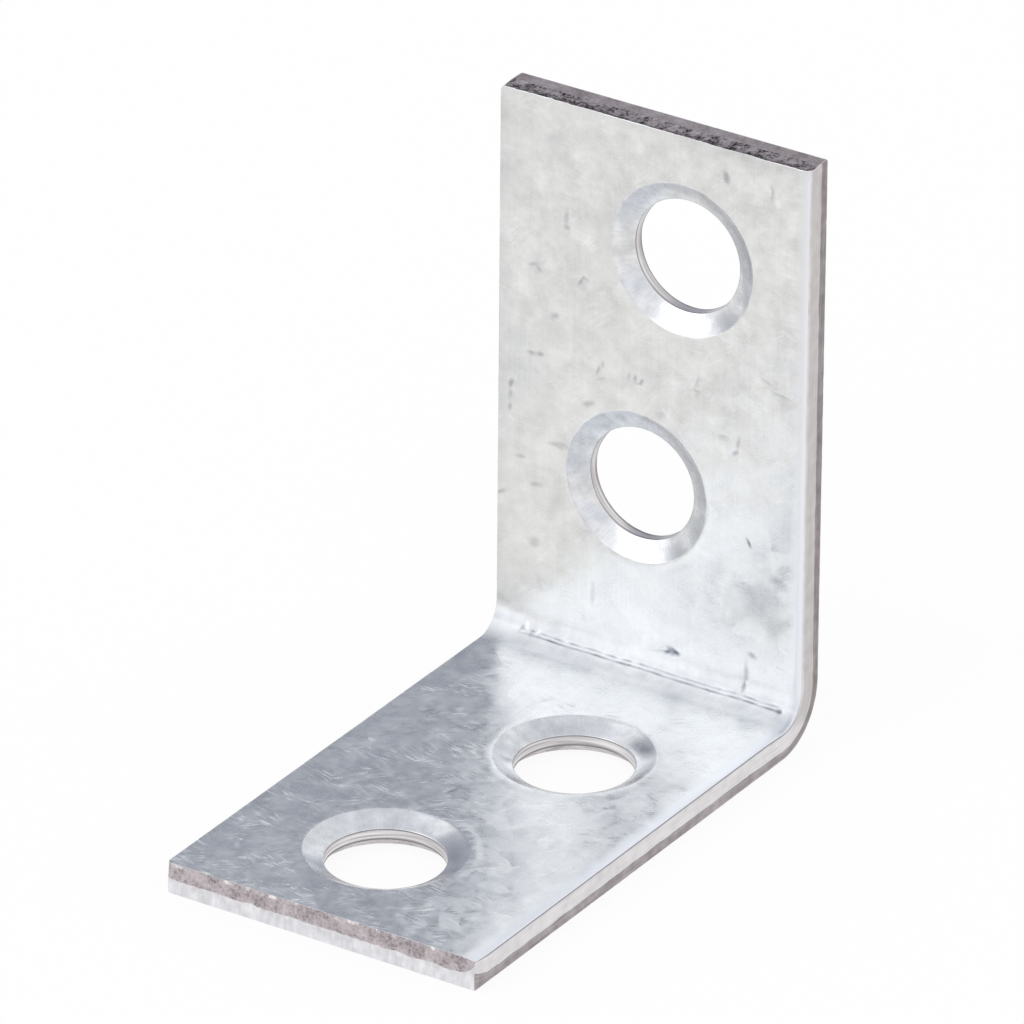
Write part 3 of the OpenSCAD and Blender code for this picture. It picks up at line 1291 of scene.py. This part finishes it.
@dataclass(frozen=True)
class HotDipZinc(Finish):
    """Hot-dip galvanised and skin-passed sheet.

    The zinc froze in flat crystals, which give the eye faint feathery patches of pale blue-grey. Skin-pass
    rolling then dulled them and drew fine lines along the strip. Slitting polished the roll-over and
    folding crazed the zinc inside the fold. Real feathers and rolling lines are a few hundredths of a
    millimetre wide; they are drawn two to three times as wide, so that they show.
    """

    name: str = "hot_dip_zinc"
    dull: str = "#D6D8DB"
    pale: str = "#F4F6F7"
    roughness: tuple[float, float] = (0.22, 0.38)
    feather_rough: float = 0.65
    crazed: tuple[str, str] = ("#D6D8DC", "#F0F2F5")
    craze_rough: float = 0.5
    polished: str = "#EAECF2"
    polish_rough: float = 0.34
    # Colour of the marks' stains and of the painted shade in the crease and the darker bands.
    stain_and_shade: str = "#606A7A"
    fleck: str = "#FBFCFD"
    fleck_gain: float = 1.5
    spangle_mm: float = 2.6
    facet_mm: float = 0.9
    tilt: tuple[float, float] = (0.05, 0.06)
    warps_per_mm: float = 0.8
    bend_mm: float = 1.2
    sweep_mm: float = 0.45
    feather_mm: tuple[float, float] = (0.09, 0.81)
    feather_turns: tuple[float, float] = (-48.0, -98.0)
    areas_per_mm: float = 0.7
    upright_mm: tuple[float, float] = (20.0, 26.0)
    upright_feathers: float = 0.5
    cloud_mm: float = 1.1
    dent_mm: float = 0.8
    fleck_mm: float = 0.45
    bloom_mm: float = 5.0
    grain_mm: float = 0.13
    line_mm: float = 0.11
    lines_per_mm: float = 0.15
    relief_mm: float = 0.012

    def crystals(self, tree: Tree, place: Socket) -> tuple[Feed, Feed, Feed]:
        """Adds the frozen crystals.

        Args:
            tree: The node tree.
            place: Place on the strip.

        Returns:
            A level for each crystal, the feathers that run in one direction in each, and the tilted normal.
        """
        warp = add_node(tree, "TexNoise", {"Vector": place, "Scale": self.warps_per_mm, "Detail": 0.0})
        bent, swept = (
            add_node(tree, "VectorMath", (warp.outputs["Color"], (shift, shift, 0.0), place),
                     operation="MULTIPLY_ADD")
            for shift in (self.bend_mm, self.sweep_mm)
        )
        normal = add_node(tree, "NewGeometry").outputs["Normal"]
        for size, lean in zip((self.spangle_mm, self.facet_mm), self.tilt):
            cells = {"Vector": bent, "Scale": 1 / size, "Smoothness": 0.15}
            crystal = add_node(tree, "TexVoronoi", cells, feature="SMOOTH_F1").outputs["Color"]
            leaned = add_node(tree, "VectorMath", (crystal, (-0.5, -0.5, -0.5)))
            normal = add_node(tree, "VectorMath", (leaned, (lean, lean, lean), normal),
                              operation="MULTIPLY_ADD")
        normal = add_node(tree, "VectorMath", (normal,), operation="NORMALIZE")
        which, level, _ = add_node(tree, "SeparateColor", (crystal,)).outputs
        feathers = []
        for turn in self.feather_turns:
            laid = add_node(tree, "Mapping", {"Vector": swept, "Rotation": (0.0, 0.0, math.radians(turn)),
                                              "Scale": (*self.feather_mm, 1.0)}, vector_type="TEXTURE")
            feathers.append(add_node(tree, "TexNoise", {"Vector": laid, "Scale": 1.0, "Detail": 2.0}))
        which = add_node(tree, "MapRange", (which, 0.4, 0.6))
        streak = add_node(tree, "Mix", {0: which, 2: feathers[0], 3: feathers[1]})
        streak = add_node(tree, "MapRange", (streak, 0.5, 0.66))
        area = add_node(tree, "TexNoise", {"Vector": place, "Scale": self.areas_per_mm, "Detail": 2.0})
        shown = add_node(tree, "MapRange", (area, 0.4, 0.6))
        along = add_node(tree, "SeparateXYZ", (place,)).outputs[1]
        leg = add_node(tree, "MapRange", (along, *self.upright_mm, 1.0, self.upright_feathers))
        for share in (shown, leg):
            streak = add_node(tree, "Math", (streak, share), operation="MULTIPLY")
        return level, streak, normal

    def look(self, tree: Tree, place: Socket) -> dict[str, Feed]:
        """Spangle, clouds, rolling lines, stains and painted shade, and the worked places.

        Args:
            tree: The node tree.
            place: Place on the flat strip.

        Returns:
            What feeds each input of the shader.
        """
        state = add_node(tree, "Attribute", attribute_name="state").outputs["Vector"]
        stain_and_shade, polish, craze = add_node(tree, "SeparateXYZ", (state,)).outputs
        level, feather, leaned = self.crystals(tree, place)
        scale = (1 / self.line_mm, self.lines_per_mm, 1.0)
        drawn = add_node(tree, "Mapping", {"Vector": place, "Scale": scale})
        cloud, bloom, grain, fleck, dents, lines = (
            add_node(tree, "TexNoise", {"Vector": at, "Scale": scale, "Detail": detail,
                                        "Roughness": rough})
            for at, scale, detail, rough in (
                (place, 1 / self.cloud_mm, 4.0, 0.6),
                (place, 1 / self.bloom_mm, 2.0, 0.5),
                (place, 1 / self.grain_mm, 2.0, 0.5),
                (place, 1 / self.fleck_mm, 2.0, 0.5),
                (place, 1 / self.dent_mm, 1.0, 0.5),
                (drawn, 1.0, 2.0, 0.5),
            )
        )
        tone = blended(tree, ((level, 0.05), (feather, 0.14), (cloud, 0.42), (fleck, 0.16), (bloom, 0.2),
                              (lines, 0.08), (grain, 0.03)))
        tone = add_node(tree, "MapRange", (tone, 0.35, 0.62))
        frost = add_node(tree, "MapRange", (blended(tree, ((cloud, 0.6), (fleck, 0.4))), 0.38, 0.62))
        height = blended(tree, ((dents, 0.9), (feather, 0.05)))
        relief = add_node(tree, "Bump", {"Height": height, "Distance": self.relief_mm * MM,
                                         "Normal": leaned})
        worn = {0: tone, 6: linear(self.crazed[0]), 7: linear(self.crazed[1])}
        worn = add_node(tree, "Mix", worn, data_type="RGBA")
        grit = add_node(tree, "MapRange", (fleck, 0.38, 0.62, 0.7, 1.3))
        # Darkening by stains and by the painted shade of the crease and the bands.
        dark = add_node(tree, "Math", (stain_and_shade, grit), operation="MULTIPLY", use_clamp=True)
        # Bright flecks where the stain is negative; those at the crease's left end are painted highlights.
        bright = add_node(tree, "Math", (stain_and_shade, -self.fleck_gain), operation="MULTIPLY", use_clamp=True)
        look = self.toned(tree, tone, relief, frost)
        for share, rough in ((feather, self.feather_rough), (craze, self.craze_rough),
                             (polish, self.polish_rough)):
            look["Roughness"] = add_node(tree, "Mix", {0: share, 2: look["Roughness"], 3: rough})
        return self.covered(tree, look, ((craze, worn), (polish, self.polished), (dark, self.stain_and_shade),
                                         (bright, self.fleck)))


@dataclass(frozen=True)
class ShearedEdge(Finish):
    """Edge that a blade burnished, with zinc dragged over it: smooth, with fine lines along the drag.

    On the base, a line of grime and painted shade lies beside the inner face, where the rounded corner
    meets the burnished band.
    """

    line_mm: tuple[float, float, float] = (0.1, 3.0, 0.12)
    relief_mm: float = 0.003
    corner: float = 0.0
    clouds_per_mm: float = 1.8
    grime_and_shade: str = "#7D7D82"
    grime_and_shade_mm: tuple[float, float] = (0.12, 0.04)
    base_mm: tuple[float, float] = (24.0, 22.0)

    def look(self, tree: Tree, place: Socket) -> dict[str, Feed]:
        """Drag lines and clouds, and the line of grime and painted shade beside the inner face.

        Args:
            tree: The node tree.
            place: Place on the flat strip.

        Returns:
            What feeds each input of the shader.
        """
        scale = tuple(1 / size for size in self.line_mm)
        drawn = add_node(tree, "Mapping", {"Vector": place, "Scale": scale})
        lines = add_node(tree, "TexNoise", {"Vector": drawn, "Scale": 1.0, "Detail": 4.0})
        cloud = add_node(tree, "TexNoise", {"Vector": place, "Scale": self.clouds_per_mm, "Detail": 4.0})
        tone = add_node(tree, "MapRange", (add_node(tree, "Math", (lines, cloud)), 0.7, 1.3))
        relief = add_node(tree, "Bump", {"Height": lines, "Distance": self.relief_mm * MM})
        _, along, depth = add_node(tree, "SeparateXYZ", (place,)).outputs
        # Line of grime and painted shade beside the inner face, on the base's slit edge only.
        base = add_node(tree, "MapRange", (along, *self.base_mm, 0.0, self.corner))
        grimed_and_shaded = add_node(tree, "MapRange", (depth, *self.grime_and_shade_mm, 0.0, base))
        return self.covered(tree, self.toned(tree, tone, relief), ((grimed_and_shaded, self.grime_and_shade),))


@dataclass(frozen=True)
class TornSteel(Finish):
    """Steel that tore when the blade had passed halfway: bare, grainy, a faint mauve brown."""

    grain_mm: float = 0.13
    patch_mm: float = 0.7
    relief_mm: float = 0.02
    pits: float = 0.0
    burr_zinc_and_glints: float = 0.0
    rim: float = 0.0
    spots_per_mm: float = 1.1
    rim_mm: tuple[float, float] = (0.34, 0.08)
    burr_zinc_and_glint_mm: tuple[float, float] = (0.16, 0.1)
    pit_colour: str = "#1C191B"
    burr_zinc_and_glint_colour: str = "#F4F3F6"

    def look(self, tree: Tree, place: Socket) -> dict[str, Feed]:
        """Grain and patches of the tear, black pits, and a darker rim beside the inner face, with bright
        burr spots that are white zinc bits and painted highlights.

        Args:
            tree: The node tree.
            place: Place on the flat strip.

        Returns:
            What feeds each input of the shader.
        """
        depth = add_node(tree, "SeparateXYZ", (place,)).outputs[2]
        grain, patch, spot = (
            add_node(tree, "TexNoise", {"Vector": place, "Scale": scale, "Detail": detail,
                                        "Roughness": rough})
            for scale, detail, rough in (
                (1 / self.grain_mm, 4.0, 0.6),
                (1 / self.patch_mm, 3.0, 0.5),
                (self.spots_per_mm, 6.0, 0.7),
            )
        )
        tone = add_node(tree, "MapRange", (add_node(tree, "Math", (grain, patch)), 0.75, 1.25))
        near = add_node(tree, "MapRange", (depth, *self.rim_mm))
        tone = add_node(tree, "Math", (near, -self.rim, tone), operation="MULTIPLY_ADD", use_clamp=True)
        relief = add_node(tree, "Bump", {"Height": grain, "Distance": self.relief_mm * MM})
        fine = add_node(tree, "MapRange", (grain, 0.5, 0.4, 0.0, self.pits))
        deep = add_node(tree, "MapRange", (patch, 0.58, 0.44))
        pit = add_node(tree, "Math", (fine, deep), operation="MULTIPLY")
        # Bright burr spots beside the inner face: white zinc bits, and painted highlights where burrs catch
        # light.
        raised = add_node(tree, "MapRange", (spot, 0.5, 0.62, 0.0, self.burr_zinc_and_glints))
        edge = add_node(tree, "MapRange", (depth, *self.burr_zinc_and_glint_mm))
        burr_zinc_and_glint = add_node(tree, "Math", (raised, edge), operation="MULTIPLY")
        return self.covered(tree, self.toned(tree, tone, relief),
                            ((pit, self.pit_colour), (burr_zinc_and_glint, self.burr_zinc_and_glint_colour)))


@dataclass(frozen=True)
class PressedCone(Finish):
    """Zinc ironed smooth by the countersinking punch, with faint lines that run down to the hole."""

    name: str = "pressed_zinc_cone"
    dull: str = "#D3D5D9"
    pale: str = "#EFF1F4"
    roughness: tuple[float, float] = (0.3, 0.2)
    line_mm: float = 0.05
    lines_per_mm: float = 1.6
    cloud_mm: float = 0.5
    relief_mm: float = 0.002
    stained: str = "#85868C"

    def look(self, tree: Tree, place: Socket) -> dict[str, Feed]:
        """Lines down the cone, clouds and stains.

        Args:
            tree: The node tree.
            place: Place on the flat strip.

        Returns:
            What feeds each input of the shader.
        """
        state = add_node(tree, "Attribute", attribute_name="state").outputs["Vector"]
        stain_and_shade = add_node(tree, "SeparateXYZ", (state,)).outputs[0]
        round_hole = add_node(tree, "Attribute", attribute_name="hole_mm").outputs["Vector"]
        drawn = {"Vector": round_hole, "Scale": (1 / self.line_mm, 1 / self.line_mm, self.lines_per_mm)}
        drawn = add_node(tree, "Mapping", drawn)
        lines = add_node(tree, "TexNoise", {"Vector": drawn, "Scale": 1.0, "Detail": 2.0})
        cloud = add_node(tree, "TexNoise", {"Vector": place, "Scale": 1 / self.cloud_mm, "Detail": 4.0})
        tone = add_node(tree, "Math", (lines, 0.35, cloud), operation="MULTIPLY_ADD")
        tone = add_node(tree, "MapRange", (tone, 0.45, 0.9))
        relief = add_node(tree, "Bump", {"Height": tone, "Distance": self.relief_mm * MM})
        grit = add_node(tree, "MapRange", (cloud, 0.35, 0.6, 0.6, 1.8))
        dark = add_node(tree, "Math", (stain_and_shade, grit), operation="MULTIPLY", use_clamp=True)
        return self.covered(tree, self.toned(tree, tone, relief), ((dark, self.stained),))


@dataclass(frozen=True)
class PunchedBore(Finish):
    """Wall that the punch sheared: bright steel, a faint pink from the bare metal, with fine rings.

    Real rings are a few hundredths of a millimetre apart; they are drawn wider, so that they show.
    """

    name: str = "punched_bore"
    dull: str = "#BAB6B8"
    pale: str = "#EDEAEB"
    roughness: tuple[float, float] = (0.42, 0.3)
    ring_mm: float = 0.09
    rings_per_mm: float = 0.35
    relief_mm: float = 0.01
    wall_band: str = "#5C5A5C"
    wall_band_share: float = 0.75
    cone_mm: tuple[float, float] = (0.53, 0.45)
    tear_mm: tuple[float, float] = (0.78, 0.88)

    def look(self, tree: Tree, place: Socket) -> dict[str, Feed]:
        """Rings round the wall, and darker bands where it meets the cone and the tear.

        Args:
            tree: The node tree.
            place: Place on the flat strip.

        Returns:
            What feeds each input of the shader.
        """
        scale = (self.rings_per_mm, self.rings_per_mm, 1 / self.ring_mm)
        drawn = add_node(tree, "Mapping", {"Vector": place, "Scale": scale})
        rings = add_node(tree, "TexNoise", {"Vector": drawn, "Scale": 1.0, "Detail": 2.0})
        tone = add_node(tree, "MapRange", (rings, 0.35, 0.65))
        relief = add_node(tree, "Bump", {"Height": rings, "Distance": self.relief_mm * MM})
        depth = add_node(tree, "SeparateXYZ", (place,)).outputs[2]
        # Darker bands where the wall meets the cone and the tear.
        upper, lower = (
            add_node(tree, "MapRange", (depth, *ends, 0.0, self.wall_band_share))
            for ends in (self.cone_mm, self.tear_mm)
        )
        wall_banded = add_node(tree, "Math", (upper, lower), operation="MAXIMUM")
        return self.covered(tree, self.toned(tree, tone, relief), ((wall_banded, self.wall_band),))


FINISHES: dict[Zone, Finish] = {
    Zone.FACE: HotDipZinc(),
    Zone.SLIT: ShearedEdge("slit_edge", "#D3D0D1", "#E6E4E6", (0.4, 0.3), (0.5, 2.5, 0.07), corner=1.0),
    Zone.SLIT_TORN: ShearedEdge("slit_tear", "#948D8F", "#BBB4B6", (0.6, 0.5), (0.5, 3.0, 0.11), 0.008),
    Zone.FRONT_SHEARED: ShearedEdge("zinc_smeared_end", "#CFCFD4", "#F0F0F3", (0.42, 0.34),
                                    (0.2, 1.0, 0.5)),
    Zone.FRONT_TORN: TornSteel("front_tear", "#A39B9F", "#CCC4C9", (0.6, 0.5), patch_mm=0.6, pits=0.25,
                               burr_zinc_and_glints=0.95),
    Zone.TOP_SHEARED: TornSteel("bare_sheared_end", "#A19797", "#D6CCCD", (0.5, 0.4), relief_mm=0.005),
    Zone.TOP_TORN: TornSteel("top_tear", "#6C6569", "#CBC4C7", (0.65, 0.5), patch_mm=0.45, pits=0.85,
                             rim=0.4),
    Zone.CONE: PressedCone(),
    Zone.BORE: PunchedBore(),
    Zone.BORE_TORN: TornSteel("bore_tear", "#B5AFB1", "#DAD6D8", (0.6, 0.5), relief_mm=0.008),
}


def heading(azimuth: float, elevation: float) -> Vector:
    """Direction from the origin, in degrees to the right of the front and above the floor."""
    a, e = math.radians(azimuth), math.radians(elevation)
    return Vector((math.sin(a) * math.cos(e), -math.cos(a) * math.cos(e), math.sin(e)))


def add_panel(name: str, size: tuple[float, float], paint: bpy.types.Material) -> bpy.types.Object:
    """Adds a flat panel of the studio, which isn't part of the object.

    Args:
        name: Name of the panel.
        size: Width and height in metres.
        paint: The panel's material.

    Returns:
        The panel, flat round the origin.
    """
    half_w, half_h = size[0] / 2, size[1] / 2
    corners = [(-half_w, -half_h, 0), (half_w, -half_h, 0), (half_w, half_h, 0), (-half_w, half_h, 0)]
    mesh = bpy.data.meshes.new(name)
    mesh.from_pydata(corners, [], [(0, 1, 2, 3)])
    paint.cycles.emission_sampling = "NONE"
    mesh.materials.append(paint)
    panel = bpy.data.objects.new(name, mesh)
    bpy.context.scene.collection.objects.link(panel)
    return panel


@dataclass(frozen=True)
class Card:
    """A flat studio panel that faces the origin or lies on the floor. Sizes in metres."""

    name: str
    centre: Vector
    facing: Vector
    size: tuple[float, float]
    colour: str
    radiance: float = 1.0

    @classmethod
    def standing(cls, name: str, azimuth: float, elevation: float, distance: float,
                 size: tuple[float, float], colour: str, radiance: float = 1.0) -> "Card":
        """Makes a card that faces the origin.

        Args:
            name: Name of the card.
            azimuth: Degrees to the right of the front.
            elevation: Degrees above the floor.
            distance: Distance from the origin.
            size: Width and height.
            colour: sRGB colour.
            radiance: Brightness.

        Returns:
            The card.
        """
        out = heading(azimuth, elevation)
        return cls(name, out * distance, out, size, colour, radiance)

    @classmethod
    def lying(cls, name: str, x: tuple[float, float], y: tuple[float, float], colour: str) -> "Card":
        """Makes a card that lies 0.2 mm above the floor between the given places, in millimetres."""
        centre = Vector((sum(x) / 2, sum(y) / 2, 0.2)) * MM
        return cls(name, centre, Vector((0, 0, 1)), ((x[1] - x[0]) * MM, (y[1] - y[0]) * MM), colour)

    def matrix(self) -> Matrix:
        """Placement of the card; one that faces straight up keeps its sides along X and Y."""
        placed = Matrix.Translation(self.centre)
        if math.isclose(self.facing.z, 1.0, abs_tol=1e-3):
            return placed
        return placed @ self.facing.to_track_quat("Z", "Y").to_matrix().to_4x4()

    def softbox(self) -> None:
        """Makes the card as an area lamp."""
        lamp = bpy.data.lights.new(self.name, "AREA")
        lamp.shape = "RECTANGLE"
        lamp.size, lamp.size_y = self.size
        lamp.energy = self.radiance * math.pi * self.size[0] * self.size[1]
        lamp.color = linear(self.colour)[:3]
        placed = bpy.data.objects.new(self.name, lamp)
        placed.matrix_world = self.matrix()
        placed.visible_camera = False
        bpy.context.scene.collection.objects.link(placed)

    def flag(self) -> None:
        """Makes the card as a toned panel that only reflections show."""
        tone = bpy.data.materials.new(self.name)
        tree = cleared(tone)
        glow = add_node(tree, "Emission", {"Color": linear(self.colour), "Strength": self.radiance})
        add_node(tree, "OutputMaterial", {"Surface": glow})
        panel = add_panel(self.name, self.size, tone)
        panel.matrix_world = self.matrix()
        for ray in ("camera", "diffuse", "shadow", "transmission"):
            setattr(panel, f"visible_{ray}", False)


SOFTBOX = Card.standing("front_left_softbox", -32.6, 30, 0.9, (0.7, 0.88), "#FFFFFF", 0.66)

# What the zinc mirrors besides the white studio; without these cards its faces would all look the same.
FLAGS = (
    Card.standing("back_left_flag", 221, 24, 0.6, (0.74, 0.56), "#ABAEB8"),
    Card.standing("left_flag", -75, 4, 0.25, (0.2, 0.08), "#B6B8BE"),
    Card.standing("overhead_flag", 0, 90, 0.6, (0.8, 0.8), "#E6E8EC"),
    Card.standing("fold_card", -62, 55, 0.5, (0.2, 0.16), "#FFFFFF", 1.4),
    Card.lying("front_floor_card", (-150, 60), (-160, -13.2), "#F4F1ED"),
    Card.lying("near_floor_card", (-20, -7.6), (-13.2, 7), "#F9F6F1"),
    Card.standing("front_flag", 8, 8, 0.25, (0.12, 0.06), "#E6E7F0"),
    # Grey cards on the floor beside and behind the bracket: painted shade of the floor, which only
    # reflections show.
    Card.lying("left_floor_shade", (-120, -20), (-4, 60), "#C2C4C6"),
    Card.lying("close_floor_shade", (-20, -7.6), (7, 11.5), "#CED0D2"),
    Card.lying("back_floor_shade", (-20, -7.6), (11.5, 60), "#E0E2E4"),
    Card.lying("right_floor_shade", (7.7, 150), (12.6, 150), "#E0DEDC"),
)


@dataclass(frozen=True)
class Studio:
    """Plain pale floor, soft light all round and the camera. Sizes in metres, angles in degrees."""

    floor_size: float = 4.0
    floor_drop: float = 0.00002
    floor_share: float = 0.9
    floor_colour: str = "#F4F4F4"
    aim: tuple[float, float, float] = (0.00034, 0.00055, 0.01305)
    distance: float = 0.5539
    azimuth: float = 32.57
    elevation: float = 27.4
    roll: float = 0.49
    lens: float = 504.9
    sensor: float = 36.0

    def build_world(self) -> None:
        """Makes the world plain white."""
        world = bpy.data.worlds.new("studio")
        bpy.context.scene.world = world
        tree = cleared(world)
        white = add_node(tree, "Background", {"Color": linear("#FFFFFF"), "Strength": 1.0})
        add_node(tree, "OutputWorld", {"Surface": white})

    def build_floor(self) -> None:
        """Makes the pale floor; where it shows it glows a little, and it keeps a faint shadow."""
        paint = bpy.data.materials.new("pale_floor")
        tree = cleared(paint)
        rays = add_node(tree, "LightPath").outputs
        seen = add_node(tree, "Math", (rays["Is Camera Ray"], rays["Is Glossy Ray"]))
        seen = add_node(tree, "Math", (seen, rays["Is Transmission Ray"]), use_clamp=True)
        share = add_node(tree, "Math", (seen, self.floor_share), operation="MULTIPLY")
        matt = add_node(tree, "BsdfDiffuse", {"Color": linear(self.floor_colour)})
        glow = add_node(tree, "Emission", {"Color": linear("#FFFFFF"), "Strength": 1.0})
        mixed = add_node(tree, "MixShader", (share, matt, glow))
        add_node(tree, "OutputMaterial", {"Surface": mixed})
        floor = add_panel("floor", (self.floor_size, self.floor_size), paint)
        floor.location.z = -self.floor_drop

    def build_camera(self) -> None:
        """Makes the camera, looking slightly down from the front right."""
        lens = bpy.data.cameras.new("camera")
        lens.lens = self.lens
        lens.sensor_width = self.sensor
        lens.clip_start, lens.clip_end = 0.01, 10.0
        camera = bpy.data.objects.new("camera", lens)
        back = heading(self.azimuth, self.elevation)
        turned = (-back).to_track_quat("-Z", "Y").to_matrix().to_4x4()
        turned = turned @ Matrix.Rotation(math.radians(self.roll), 4, "Z")
        camera.matrix_world = Matrix.Translation(Vector(self.aim) + back * self.distance) @ turned
        bpy.context.scene.collection.objects.link(camera)
        bpy.context.scene.camera = camera

    def build(self) -> None:
        """Makes the whole studio."""
        self.build_world()
        self.build_floor()
        self.build_camera()
        SOFTBOX.softbox()
        for card in FLAGS:
            card.flag()
        bpy.context.scene.view_settings.view_transform = "Standard"


def main() -> None:
    """Builds the studio and the bracket."""
    logging.basicConfig(level=logging.INFO, format="%(name)s: %(message)s", force=True)
    low, high = (np.array(corner) / MM for corner in cad_box)
    strip = Strip(*(round(float(size), 3) for size in high - low))
    Studio().build()
    piece = FoldedStrip(strip, HolePattern().holes(strip)).build()
    for zone in Zone:
        piece.data.materials.append(FINISHES[zone].material())
        LOG.info("finish %s: %s", zone.name, FINISHES[zone].name)
    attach(piece, "root")
    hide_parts("bracket")


if __name__ == "__main__":
    main()
